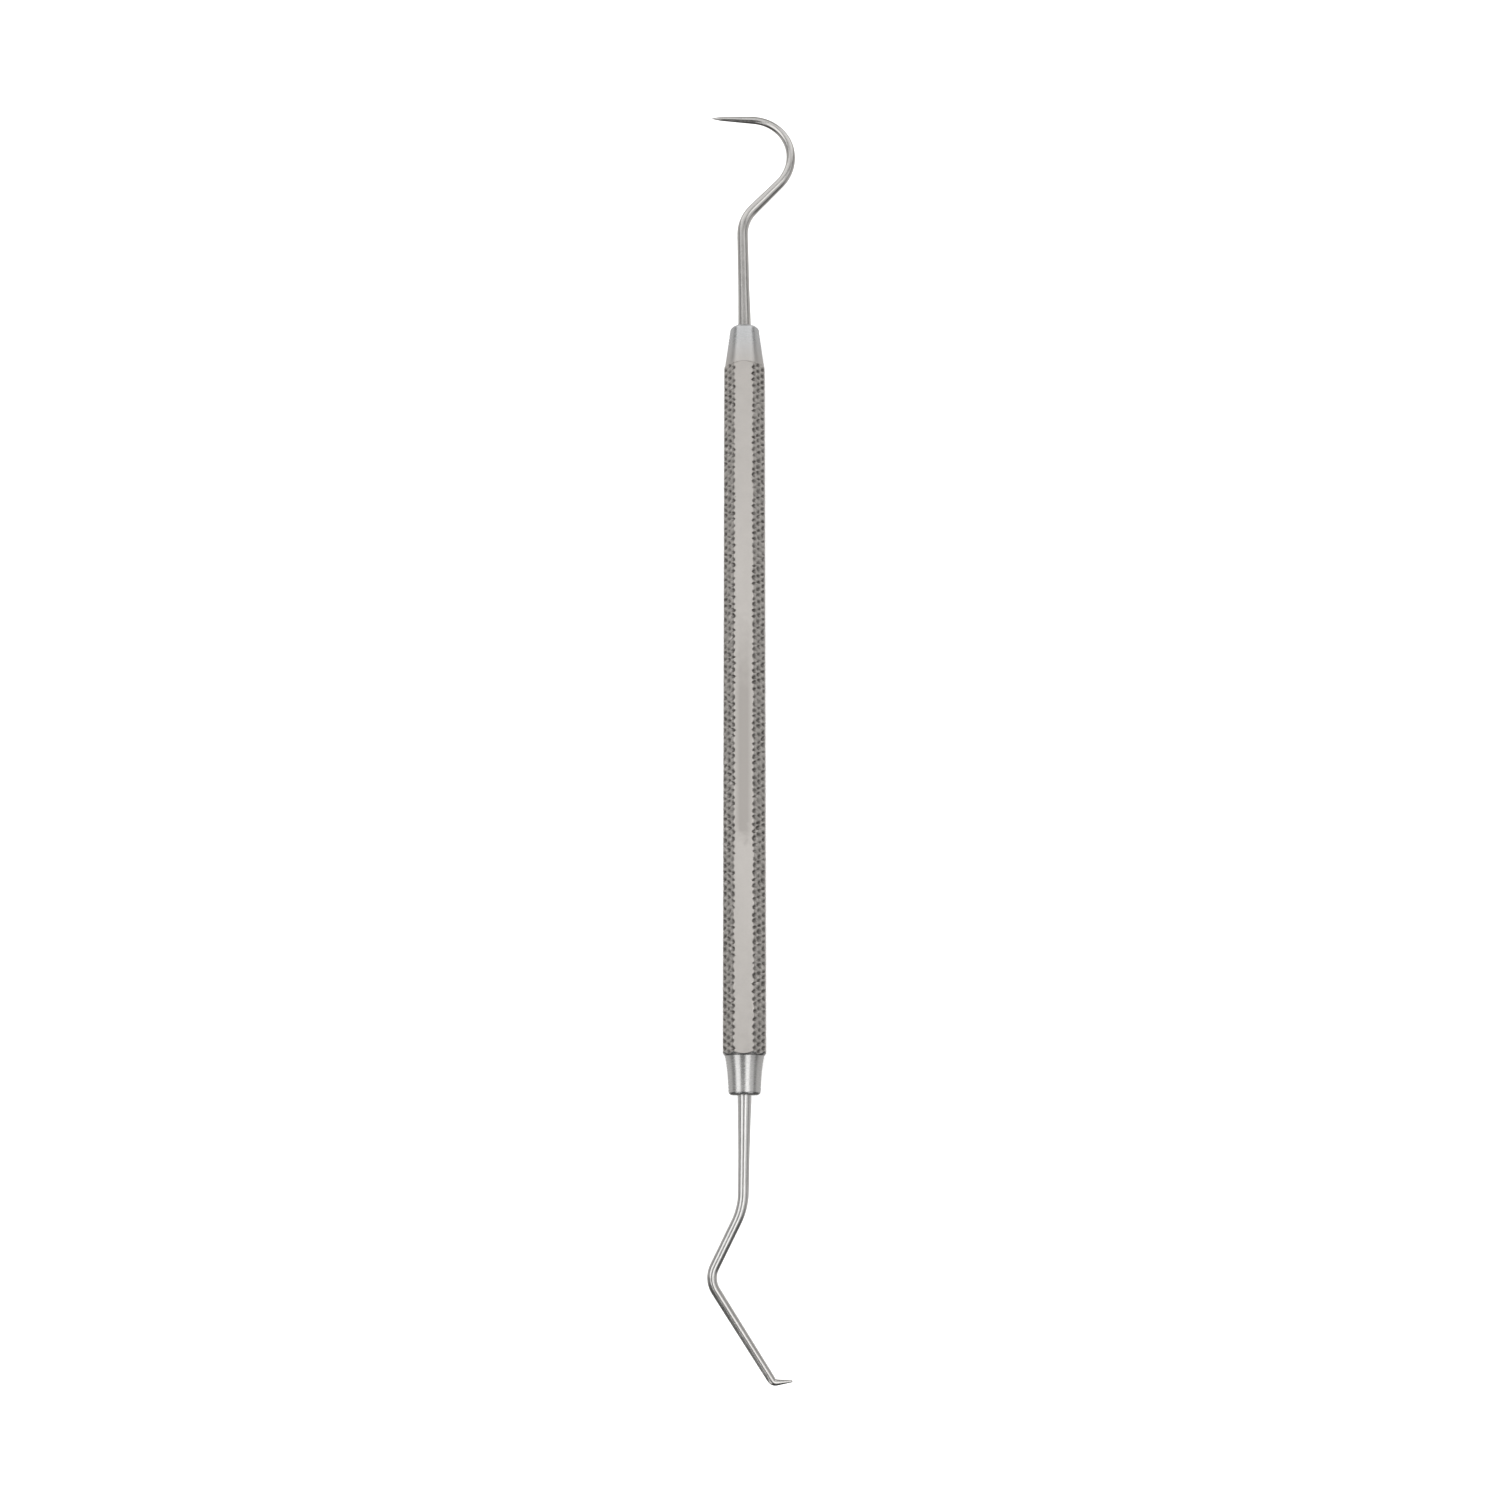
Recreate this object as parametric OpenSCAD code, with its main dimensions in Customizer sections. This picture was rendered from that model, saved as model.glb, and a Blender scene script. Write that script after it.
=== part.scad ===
// Double-ended dental hand instrument: a solid octagonal steel handle with a hooked
// working end at one end and a short right-angle working end at the other, each
// brazed into its own blind bore. Millimetres. It lies on one smooth flat, +Z up,
// with the handle's axis along Y and the hook towards +Y.

/* [Handle] */
// Distance across opposite smooth flats
across_flats = 5.5; // [5:0.1:7]
// Length of the handle from nose to nose
handle_length = 105; // [90:1:120]
// Width of each of the four smooth flats
flat_width = 2.66; // [2:0.02:2.9]
// Radius of the rounded edge of each nose
nose_rounding = 0.45; // [0.1:0.05:0.8]

/* [Turned tapers] */
// Length of the hook end's taper, from its nose to its shoulder
hook_taper_length = 5.5; // [5:0.1:5.6]
// Diameter of the hook end's taper at its nose
hook_nose_diameter = 3.9; // [3.4:0.1:3.9]
// Slope of the hook end's taper just behind its nose, degrees to the axis
hook_taper_angle = 7.1; // [2:0.1:7.1]
// Diameter of the hook end's taper at its shoulder
hook_shoulder_diameter = 5.3; // [5.3:0.05:5.9]
// Length of the shoulder that rises from the hook end's taper to the handle's corners
hook_shoulder_length = 0.8; // [0.2:0.1:1]
// Length of the right-angle end's taper, from its nose to its shoulder
angle_taper_length = 5; // [4:0.1:8]
// Diameter of the right-angle end's taper at its nose
angle_nose_diameter = 4.14; // [3.4:0.02:4.6]
// Slope of the right-angle end's taper just behind its nose, degrees to the axis
angle_taper_angle = 1.9; // [1:0.1:5]
// Diameter of the right-angle end's taper at its shoulder
angle_shoulder_diameter = 5.1; // [5:0.05:5.8]
// Length of the shoulder that rises from the right-angle end's taper
angle_shoulder_length = 0.6; // [0.2:0.1:1]

/* [Bores and tangs] */
// Diameter of each blind bore
bore_diameter = 2.2; // [2.1:0.05:2.5]
// Depth of each bore to where its drill point begins
bore_depth = 14; // [8:1:20]
// Included angle of the drill point
drill_point_angle = 118; // [90:1:140]
// Diameter of the tang inside the bore
tang_diameter = 2.0; // [1.8:0.05:2.05]
// Length of the tang inside the bore
tang_length = 13.4; // [7:0.1:19]
// Number of braze-retaining grooves around the tang
groove_count = 3; // [1:1:4]
// Width of each groove
groove_width = 0.8; // [0.4:0.1:1.2]
// Depth of each groove
groove_depth = 0.15; // [0.05:0.05:0.3]

/* [Hook working end] */
// Diameter of the shank where it leaves the nose
hook_base_diameter = 1.75; // [1.5:0.05:1.8]
// Length of the straight shank
hook_shank_length = 13.3; // [8:0.1:20]
// Radius of the bend that swings the shank outwards
hook_offset_radius = 5.2; // [2:0.1:8]
// Length of the slanted stretch
hook_slant_length = 5.3; // [2:0.1:10]
// Radius of the hook's bow
hook_bow_radius = 5.8; // [4:0.1:8]
// Length of the straight tip
hook_tip_length = 5.7; // [3:0.1:8]

/* [Right-angle working end] */
// Diameter of the shank where it leaves the nose
angle_base_diameter = 1.75; // [1.5:0.05:1.8]
// Length of the straight shank
angle_shank_length = 11.7; // [8:0.1:20]
// Length of the stretch that slants outwards
angle_outward_length = 6.2; // [3:0.1:12]
// Length of the stretch that slants back across the axis
angle_return_length = 12.9; // [6:0.1:20]
// Length of the tip past its right-angle bend
angle_tip_length = 1.9; // [1:0.1:4]

/* [Hidden] */
$fn = 64;

axis_height = across_flats / 2;
half_length = handle_length / 2;
corner_radius = norm([across_flats, flat_width]) / 2;

bore_radius = bore_diameter / 2;
drill_point_length = bore_radius / tan(drill_point_angle / 2);
tang_radius = tang_diameter / 2;
tang_chamfer = 0.2;
// The tang narrows to the shank's diameter between these depths under the nose.
shoulder_start = 1.6;
shoulder_end = 0.6;
// The tang's round root stands out of the nose by its length, a hair thicker than the
// swept shank, which starts inside it.
root_length = 0.3;
root_overlap = 0.5;
root_step = 0.01;
// How far the braze stops below the nose face.
braze_recess = 0.08;

// A taper is [length, nose diameter, slope behind the nose, shoulder diameter, shoulder
// length]. It steepens with the cube of the distance from the nose, by what it takes to
// come to the shoulder's diameter.
hook_taper = [
    hook_taper_length, hook_nose_diameter, hook_taper_angle,
    hook_shoulder_diameter, hook_shoulder_length
];
angle_taper = [
    angle_taper_length, angle_nose_diameter, angle_taper_angle,
    angle_shoulder_diameter, angle_shoulder_length
];
// The turned outline passes this far outside the handle's corners.
turning_clearance = 0.02;
taper_steps = 12;
rounding_steps = 5;

// Sides of a swept shank, and the longest step along a straight and around a bend.
sides = 24;
straight_step = 2.5;
bend_step = 6;
hook_point_diameter = 0.2;
angle_point_diameter = 0.3;

// A working end is a list of stretches, each [length, turn, bend radius, end
// diameter]. A straight has no turn. A bend has no length of its own: it turns
// clockwise seen from above for a positive angle, in degrees.
lean_radius = 20;
hook_stretches = [
    [root_overlap + root_length, 0, 0, hook_base_diameter],
    [0, -1.2, lean_radius, hook_base_diameter],
    [hook_shank_length * 0.4, 0, 0, 1.56],
    [hook_shank_length * 0.6, 0, 0, 1.5],
    [0, 45.4, hook_offset_radius, 1.48],
    [hook_slant_length, 0, 0, 1.34],
    [0, -80, hook_bow_radius, 1.16],
    [0, -49.9, hook_bow_radius, 1.01],
    [hook_tip_length * 0.8, 0, 0, 0.56],
    [hook_tip_length * 0.2, 0, 0, hook_point_diameter]
];
angle_stretches = [
    [root_overlap + root_length, 0, 0, angle_base_diameter],
    [0, 0.7, lean_radius, angle_base_diameter],
    [angle_shank_length * 0.6, 0, 0, 1.47],
    [angle_shank_length * 0.4, 0, 0, 1.42],
    [0, 25.8, 8.5, 1.34],
    [angle_outward_length, 0, 0, 1.29],
    [0, -59.5, 3, 1.25],
    [angle_return_length, 0, 0, 1.06],
    [0, -60.1, 0.65, 0.8],
    [angle_tip_length * 0.6, 0, 0, 0.5],
    [angle_tip_length * 0.4, 0, 0, angle_point_diameter]
];

function stretch_steps(s) =
    s[1] == 0 ? ceil(s[0] / straight_step) : ceil(abs(s[1]) / bend_step);

// Unit vectors along a heading, measured clockwise from +Y, and to its right.
function ahead(heading) = [sin(heading), cos(heading)];
function rightwards(heading) = [cos(heading), -sin(heading)];

// The place and heading at a share t of the way along a stretch.
function place_along(s, place, heading, t) =
    s[1] == 0
        ? place + t * s[0] * ahead(heading)
        : place + sign(s[1]) * s[2] * (rightwards(heading) - rightwards(heading + t * s[1]));
function heading_along(s, heading, t) = heading + t * s[1];

// The rings of a whole path, each [place, heading, diameter].
function rings(stretches, place, heading, diameter, i = 0) =
    i == len(stretches)
        ? [[place, heading, diameter]]
        : let (s = stretches[i], steps = stretch_steps(s))
          concat(
              [
                  for (k = [0 : steps - 1])
                  let (t = k / steps)
                  [
                      place_along(s, place, heading, t),
                      heading_along(s, heading, t),
                      diameter + t * (s[3] - diameter)
                  ]
              ],
              rings(
                  stretches,
                  place_along(s, place, heading, 1),
                  heading_along(s, heading, 1),
                  s[3],
                  i + 1
              )
          );

function ring_points(ring) = [
    for (k = [0 : sides - 1])
    let (
        a = 360 * k / sides,
        r = ring[2] / 2,
        flat = ring[0] + r * cos(a) * rightwards(ring[1])
    )
    [flat[0], flat[1], r * sin(a)]
];

function root_radius(base_diameter) = base_diameter / 2 + root_step;

// The outline of a tang from its inner end to the root of the shank, as
// [radius, distance outwards from the nose face].
function groove_middle(i) =
    -tang_length + (tang_length - shoulder_start) * (i + 1) / (groove_count + 1);
function tang_outline(root_radius) = concat(
    [
        [tang_radius - tang_chamfer, -tang_length],
        [tang_radius, -tang_length + tang_chamfer]
    ],
    [
        for (i = [0 : groove_count - 1], corner = [[-1, 0], [-1, 1], [1, 1], [1, 0]])
        [
            tang_radius - corner[1] * groove_depth,
            groove_middle(i) + corner[0] * groove_width / 2
        ]
    ],
    [
        [tang_radius, -shoulder_start],
        [root_radius, -shoulder_end],
        [root_radius, -braze_recess]
    ]
);

// Turns what is drawn around +Z so that it lies along the handle's axis, with its
// zero at the nose face at the hook's end.
module along_axis() {
    translate([0, half_length, axis_height])
        rotate([-90, 0, 0])
            children();
}

// The other end is the same, turned half round.
module at_other_end() {
    rotate([0, 0, 180])
        children();
}

module swept_shank(stretches, base_diameter) {
    path = rings(stretches, [0, half_length - root_overlap], 0, base_diameter);
    last = len(path) - 1;
    translate([0, 0, axis_height])
        polyhedron(
            points = [for (ring = path) each ring_points(ring)],
            faces = concat(
                [[for (k = [sides - 1 : -1 : 0]) k]],
                [
                    for (i = [0 : last - 1], k = [0 : sides - 1])
                    let (a = i * sides, b = a + sides, n = (k + 1) % sides)
                    each [[a + k, a + n, b + k], [b + k, a + n, b + n]]
                ],
                [[for (k = [0 : sides - 1]) last * sides + k]]
            ),
            convexity = 8
        );
}

module tang(root_radius) {
    along_axis()
        rotate_extrude()
            polygon(concat(
                [[0, -tang_length]],
                tang_outline(root_radius),
                [[root_radius, root_length], [0, root_length]]
            ));
}

module working_end(stretches, base_diameter) {
    tang(root_radius(base_diameter));
    swept_shank(stretches, base_diameter);
}

module braze_sleeve(base_diameter) {
    along_axis()
        rotate_extrude()
            polygon(concat(
                tang_outline(root_radius(base_diameter)),
                [[bore_radius, -braze_recess], [bore_radius, -tang_length]]
            ));
}

module octagonal_bar() {
    f = flat_width / 2;
    h = axis_height;
    translate([0, half_length, h])
        rotate([90, 0, 0])
            linear_extrude(handle_length)
                polygon([
                    [f, h], [-f, h], [-h, f], [-h, -f],
                    [-f, -h], [f, -h], [h, -f], [h, f]
                ]);
}

function taper_radius(taper, d) =
    let (
        cone = taper[1] / 2 + d * tan(taper[2]),
        flare_rise = (taper[3] - taper[1]) / 2 - taper[0] * tan(taper[2])
    )
    cone + flare_rise * pow(d / taper[0], 3);

// Outline of a turned end from its nose to the top of its shoulder, as
// [radius, distance inwards from the nose face].
function end_outline(taper) = concat(
    [
        for (i = [0 : rounding_steps - 1])
        let (
            a = 90 * i / rounding_steps,
            d = nose_rounding * (1 - cos(a))
        )
        [taper_radius(taper, d) - nose_rounding * (1 - sin(a)), d]
    ],
    [
        for (i = [0 : taper_steps])
        let (d = nose_rounding + (taper[0] - nose_rounding) * i / taper_steps)
        [taper_radius(taper, d), d]
    ],
    [[corner_radius + turning_clearance, taper[0] + taper[4]]]
);

module turned_envelope() {
    hook = end_outline(hook_taper);
    angle = end_outline(angle_taper);
    along_axis()
        rotate_extrude()
            polygon(concat(
                [[0, 0]],
                [for (p = hook) [p[0], -p[1]]],
                [
                    for (i = [len(angle) - 1 : -1 : 0])
                    [angle[i][0], angle[i][1] - handle_length]
                ],
                [[0, -handle_length]]
            ));
}

module blind_bore() {
    along_axis()
        rotate_extrude()
            polygon([
                [0, 1],
                [bore_radius, 1],
                [bore_radius, -bore_depth],
                [0, -bore_depth - drill_point_length]
            ]);
}

module handle() {
    color("gainsboro")
        difference() {
            intersection() {
                octagonal_bar();
                turned_envelope();
            }
            blind_bore();
            at_other_end()
                blind_bore();
        }
}

module hook_working_end() {
    color("silver")
        working_end(hook_stretches, hook_base_diameter);
}

module right_angle_working_end() {
    color("silver")
        at_other_end()
            working_end(angle_stretches, angle_base_diameter);
}

module hook_end_braze() {
    color("lightgray")
        braze_sleeve(hook_base_diameter);
}

module right_angle_end_braze() {
    color("lightgray")
        at_other_end()
            braze_sleeve(angle_base_diameter);
}

handle();
hook_working_end();
right_angle_working_end();
hook_end_braze();
right_angle_end_braze();
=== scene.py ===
"""Detailed look of the double-ended dental hand instrument.

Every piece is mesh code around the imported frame. Shapes are worked out in
millimetres and turned to metres when a mesh is made. The row frame is used
throughout: the handle's axis is along Y, the hook is towards +Y, the instrument
lies on one smooth flat and +Z is up.
"""

import math
from collections import namedtuple

import bpy
import numpy as np
from mathutils import Euler, Matrix, Vector


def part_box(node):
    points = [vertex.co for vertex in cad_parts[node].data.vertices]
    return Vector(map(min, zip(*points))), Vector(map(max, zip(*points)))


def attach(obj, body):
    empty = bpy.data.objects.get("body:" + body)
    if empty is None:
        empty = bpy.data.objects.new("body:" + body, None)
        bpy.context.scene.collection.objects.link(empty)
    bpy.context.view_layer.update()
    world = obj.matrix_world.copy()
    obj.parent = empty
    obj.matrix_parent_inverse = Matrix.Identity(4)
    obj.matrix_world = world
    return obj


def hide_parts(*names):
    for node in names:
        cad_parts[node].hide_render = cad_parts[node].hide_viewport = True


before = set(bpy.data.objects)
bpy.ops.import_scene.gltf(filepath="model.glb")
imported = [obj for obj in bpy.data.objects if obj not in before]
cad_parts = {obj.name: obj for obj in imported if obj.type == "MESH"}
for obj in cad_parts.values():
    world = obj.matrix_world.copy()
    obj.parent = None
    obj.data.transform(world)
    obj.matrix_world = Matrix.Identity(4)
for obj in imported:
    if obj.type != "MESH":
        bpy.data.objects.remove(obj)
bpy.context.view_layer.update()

MM = 0.001
SEED = 20260611

# ---------------------------------------------------------------- sizes, in mm

bar_low, bar_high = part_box("handle")
FLAT_DISTANCE = (bar_high.x - bar_low.x) / 2 / MM  # axis to a smooth flat
HALF_LENGTH = (bar_high.y - bar_low.y) / 2 / MM
AXIS_HEIGHT = (bar_high.z + bar_low.z) / 2 / MM
FLAT_HALF_WIDTH = 1.33
CORNER_RADIUS = math.hypot(FLAT_DISTANCE, FLAT_HALF_WIDTH)

# Turned ends of the bar, by side. A taper runs from the nose to its shoulder, and the
# shoulder rises from there to the bar's corners. The hooked end's taper runs 0.3 mm
# further than the CAD's, so that it meets the flats with less of a step.
HOOK_SIDE, ANGLE_SIDE = 1, -1
Taper = namedtuple("Taper", "length nose slope shoulder shoulder_length")  # radii
TAPERS = {
    HOOK_SIDE: Taper(5.8, 1.95, math.tan(math.radians(7.1)), 2.72, 0.5),
    ANGLE_SIDE: Taper(5.0, 2.07, math.tan(math.radians(1.9)), 2.55, 0.6),
}
TURNING_CLEARANCE = 0.02
NOSE_ROUNDING = 0.45

# Blind bores, tangs and braze
BORE_RADIUS = 1.1
BORE_DEPTH = 14.0
DRILL_POINT_LENGTH = BORE_RADIUS / math.tan(math.radians(59))
BORE_EDGE_BREAK = 0.04
TANG_RADIUS = 1.0
TANG_LENGTH = 13.4
TANG_CHAMFER = 0.2
TANG_GROOVES = 3
TANG_GROOVE_WIDTH = 0.8
TANG_GROOVE_DEPTH = 0.15
SHOULDER_START = 1.6
SHOULDER_END = 0.6
ROOT_RADIUS = 0.885
ROOT_LENGTH = 0.3
ROOT_OVERLAP = 0.5

# ---------------------------------------------------------------- mesh helpers


def make_piece(name, points, faces, node, material, attributes=None, sharp=13):
    """A smooth-shaded piece, sharp where faces meet at more than `sharp` degrees."""
    mesh = bpy.data.meshes.new(name)
    mesh.from_pydata((np.asarray(points) * MM).tolist(), [], faces)
    mesh.validate()
    for key, values in (attributes or {}).items():
        layer = mesh.attributes.new(key, "FLOAT", "POINT")
        layer.data.foreach_set("value", np.asarray(values, np.float32))
    mesh.shade_smooth()
    mesh.set_sharp_from_angle(angle=math.radians(sharp))
    mesh.materials.append(material)
    mesh.update()
    piece = bpy.data.objects.new(name, mesh)
    bpy.context.scene.collection.objects.link(piece)
    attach(piece, "root")
    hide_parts(node)
    return piece


def at_hook_end(points):
    return np.asarray(points, float)


def at_other_end(points):
    """The same, turned half round about Z."""
    return np.asarray(points, float) * [-1, -1, 1]


# ---------------------------------------------------------------- knurled bar

# Diamond knurl on the four faces between the flats. Its pits stand in three
# columns, with the middle one half a pitch out of step.
KNURL_FACES = 4
FACE_DISTANCE = (FLAT_DISTANCE + FLAT_HALF_WIDTH) / math.sqrt(2)
FACE_WIDTH = (FLAT_DISTANCE - FLAT_HALF_WIDTH) * math.sqrt(2)
HALF_FACE = FACE_WIDTH / 2
FACE_STEPS = 10  # mesh steps across a knurled face
GRID = 8  # mesh steps in one pitch
PITCH_AROUND = FACE_WIDTH * GRID / FACE_STEPS
PITCH_ALONG = 0.906
GROOVE_DEPTH = 0.085
PIT_DEPTH = 0.2  # how much deeper it is where two grooves cross
GROOVE_SHARE = 0.42  # half a groove's width, in pitches; the rest is crest
LEAST_CUT = 0.02  # shallower than this isn't coloured as a groove
RUN_OUT_START, RUN_OUT = 0.5, 0.6  # before a taper's end, and the ramp from there

# The knurl's irregularity: wavelengths and size of each ripple
DRIFT_ALONG = (1.2, 1.7, 2.6, 4.3, 9.1), 0.15
DRIFT_ACROSS = (1.3, 1.9, 3.1, 5.3), 0.1
DEPTH_CHANGE = (0.9, 1.4, 2.3, 6.7), 0.35
DRIFT_START, DRIFT_RAMP = 8.0, 2.0  # from a nose, and the ramp from there
# How far a pit's change in depth scales its painted shade
PIT_SHADE_LIMITS = 0.4, 1.4

# The corners between flats and knurl, and the columns of the mesh
EDGE_DROP = 0.025  # how far the flats' edges are rounded down
EDGE_SLOPE = 0.6
CORNER_STEPS = (EDGE_DROP / (1 - EDGE_SLOPE), 0.15, 0.26)  # columns past a corner
FLAT_COLUMNS = 5
FLAT_FROM = HALF_FACE * 1.4  # a column this far from its face's middle is on a flat
PLAIN_REACH = 43.0  # the flats need no triangles nearer the middle than this

# The rows of the mesh
GRID_END = 5.0  # the knurl's rows end this far behind each nose
TAPER_ROWS = 16
ROUNDING_ROWS = 10
OUTLINE_SAMPLES = 400
ON_OUTLINE = 1e-6
UNLIMITED = 99.0

# On the hooked end's taper the turned finish fades out before this depth
FINISH_END, FINISH_FADE = 6.2, 4.5

# Extra rings that close the ends
NOSE_FACE_MARGIN = 0.12
BORE_UPPER_RING = 1.0

Knurl = namedtuple("Knurl", "drift_along drift_across cut groove_one groove_other pit deeper")


def groove_at(phase):
    """Depth share of a V groove, from its place in the pitch."""
    away = np.abs(phase - np.floor(phase) - 0.5)
    return np.clip(1 - away / GROOVE_SHARE, 0, 1)


def envelope_radius(depth, side):
    """Radius of the turned outline at a depth behind the nose on that side."""
    end = TAPERS[side]
    flare = end.shoulder - end.nose - end.length * end.slope
    taper = end.nose + depth * end.slope + flare * (depth / end.length) ** 3
    steepness = (CORNER_RADIUS + TURNING_CLEARANCE - end.shoulder) / end.shoulder_length
    on_shoulder = end.shoulder + steepness * (depth - end.length)
    taper = np.where(depth > end.length, on_shoulder, taper)
    edge = np.clip(1 - depth / NOSE_ROUNDING, 0, 1)
    return taper - NOSE_ROUNDING * (1 - np.sqrt(1 - edge**2))


def ripple(across, along, rng, wavelengths, amount):
    """A smooth irregular surface of the given size, so the pattern doesn't repeat."""
    total = np.zeros_like(along)
    for wavelength in wavelengths:
        way = rng.uniform(0, math.pi)
        phase = rng.uniform(0, 2 * math.pi)
        travel = across * math.sin(way) + along * math.cos(way)
        total += np.sin(2 * math.pi * travel / wavelength + phase)
    return amount * total / math.sqrt(len(wavelengths))


def bar_columns():
    """Every column of the bar's mesh, as its face and its place across that face."""
    flat = 2 * (FLAT_HALF_WIDTH / math.sqrt(2) - CORNER_STEPS[-1])
    inner_edge = HALF_FACE - EDGE_DROP / EDGE_SLOPE
    inside = [FACE_WIDTH * i / FACE_STEPS - HALF_FACE for i in range(FACE_STEPS + 1)]
    places = [-HALF_FACE - k for k in reversed(CORNER_STEPS)]
    places += sorted(inside + [-inner_edge, inner_edge])
    places += [HALF_FACE + k for k in CORNER_STEPS]
    places += [
        HALF_FACE + CORNER_STEPS[-1] + flat * i / (FLAT_COLUMNS + 1)
        for i in range(1, FLAT_COLUMNS + 1)
    ]
    return [(face, place) for face in range(KNURL_FACES) for place in places]


def bar_rows():
    """Places of the mesh's rows along the bar, and the numbers of the knurl's rows."""
    grid_step = PITCH_ALONG / GRID
    reach = int((HALF_LENGTH - GRID_END) / grid_step)
    grid_rows = np.arange(-reach, reach + 1) * grid_step
    depths = np.linspace(HALF_LENGTH - grid_rows[-1], NOSE_ROUNDING, TAPER_ROWS + 1)[1:]
    turns = np.linspace(0, math.pi / 2, ROUNDING_ROWS + 1)[1:]
    depths = np.concatenate([depths, NOSE_ROUNDING * (1 - np.sin(turns))])
    ends = HALF_LENGTH - depths
    rows = np.concatenate([-ends[::-1], grid_rows, ends])
    return rows, range(len(ends), len(ends) + len(grid_rows) - 1)


def lay_out_knurl(face, across, y):
    """Where the knurl drifts to and how deep it is cut, at every vertex."""
    rng = np.random.default_rng(SEED)
    near = np.clip(1 - (np.abs(across) - HALF_FACE) / (PITCH_AROUND * 0.5), 0, 1)
    inner = np.clip(np.cos(math.pi * across / FACE_WIDTH), 0, 1)
    inner[np.abs(across) >= HALF_FACE] = 0
    drift_along = np.zeros_like(y)
    drift_across = np.zeros_like(y)
    deeper = np.ones_like(y)
    for k in range(KNURL_FACES):
        mine = face == k
        where = across[mine], y[:, mine], rng
        drift_along[:, mine] = ripple(*where, *DRIFT_ALONG)
        drift_across[:, mine] = ripple(*where, *DRIFT_ACROSS)
        deeper[:, mine] += ripple(*where, *DEPTH_CHANGE)
    fade = np.clip((HALF_LENGTH - DRIFT_START - np.abs(y)) / DRIFT_RAMP, 0, 1)
    drift_along *= near * fade
    drift_across *= inner * fade

    one = groove_at(across / PITCH_AROUND + y / PITCH_ALONG + 0.5)
    other = groove_at(across / PITCH_AROUND - y / PITCH_ALONG - 0.5)
    pit = np.minimum(one, other)
    cut = (np.maximum(one, other) * GROOVE_DEPTH + pit * PIT_DEPTH) * deeper
    for side, end in TAPERS.items():
        past_start = HALF_LENGTH - side * y - end.length + RUN_OUT_START
        cut *= np.clip(past_start / RUN_OUT, 0, 1)
    return Knurl(drift_along, drift_across, cut, one, other, pit, deeper)


def turn_tapers(section, y, plain_radius, plain_way):
    """Cut the tapers, moving rows of y on to their edges. Gives the new section and
    which vertices are on a taper and which are on its edge."""
    radius = np.linalg.norm(section, axis=2)
    turned = np.zeros(y.shape, bool)
    on_edge = np.zeros(y.shape, bool)
    columns = np.arange(y.shape[1])
    for side, end in TAPERS.items():
        # Each column's vertex next to where the bar meets the taper moves on to it.
        levels = np.linspace(
            NOSE_ROUNDING, end.length + end.shoulder_length, OUTLINE_SAMPLES
        )
        meets = np.interp(plain_radius, envelope_radius(levels, side), levels)
        goal = side * (HALF_LENGTH - meets)
        nearest = np.abs(y - goal).argmin(axis=0)
        y[nearest, columns] = goal
        on_edge[nearest, columns] = True
        # So does the one next to the shoulder's foot, where the foot is on the bar.
        foot_y = side * (HALF_LENGTH - end.length)
        lowest = np.abs(y - foot_y).argmin(axis=0)
        free = (meets > end.length) & (lowest != nearest)
        y[lowest[free], columns[free]] = foot_y
        depth = HALF_LENGTH - side * y
        limit = np.where(depth < HALF_LENGTH, envelope_radius(depth, side), UNLIMITED)
        over = radius >= limit - ON_OUTLINE
        section = np.where(over[..., None], limit[..., None] * plain_way, section)
        turned |= over & ~on_edge
    return section, turned, on_edge


def bar_faces(y, across, knurl, turned, on_edge, knurl_rows):
    """Quads where the bar is plain, and triangles creased along the knurl's grooves."""
    count, total = y.shape
    faces = []
    for j in range(count - 1):
        for i in range(total):
            n = (i + 1) % total
            a, b = j * total + i, j * total + n
            c, d = (j + 1) * total + n, (j + 1) * total + i
            corners = (j, i), (j + 1, n), (j, n), (j + 1, i)
            on_taper = all(turned[k] for k in corners)
            on_flat = max(abs(across[i]), abs(across[n])) > FLAT_FROM
            if on_taper or (on_flat and abs(y[j, i]) < PLAIN_REACH):
                faces.append((a, d, c, b))
                continue
            if on_edge[j, i] and on_edge[j + 1, n]:
                rising = True
            elif on_edge[j + 1, i] and on_edge[j, n]:
                rising = False
            elif j in knurl_rows:
                # The crease in a knurl cell runs along the groove that is deeper there.
                ones = sum(knurl.groove_one[k] for k in corners)
                rising = sum(knurl.groove_other[k] for k in corners) > ones
            else:
                rising = (i + j) % 2 == 0
            if rising:
                faces += [(a, d, c), (a, c, b)]
            else:
                faces += [(a, d, b), (d, c, b)]
    return faces


def close_ends(points, faces, count, plain_way):
    """Add a nose face, a bore and a drill point at each end of the bar."""
    total = len(plain_way)
    for side, ring in ((ANGLE_SIDE, 0), (HOOK_SIDE, count - 1)):
        last = [ring * total + i for i in range(total)]
        rings = (
            (TAPERS[side].nose - NOSE_ROUNDING - NOSE_FACE_MARGIN, 0.0),
            (BORE_RADIUS + BORE_EDGE_BREAK, 0.0),
            (BORE_RADIUS, BORE_EDGE_BREAK),
            (BORE_RADIUS, BORE_UPPER_RING),
            (BORE_RADIUS, BORE_DEPTH),
        )
        for radius, depth in rings:
            start = len(points)
            y = side * (HALF_LENGTH - depth)
            for way in plain_way:
                points.append([radius * way[0], y, AXIS_HEIGHT + radius * way[1]])
            new = list(range(start, start + total))
            faces += bridge(last, new, side > 0)
            last = new
        points.append([0, side * (HALF_LENGTH - BORE_DEPTH - DRILL_POINT_LENGTH), AXIS_HEIGHT])
        tip = len(points) - 1
        for i in range(total):
            n = (i + 1) % total
            faces.append((last[n], last[i], tip) if side > 0 else (last[i], last[n], tip))


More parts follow.
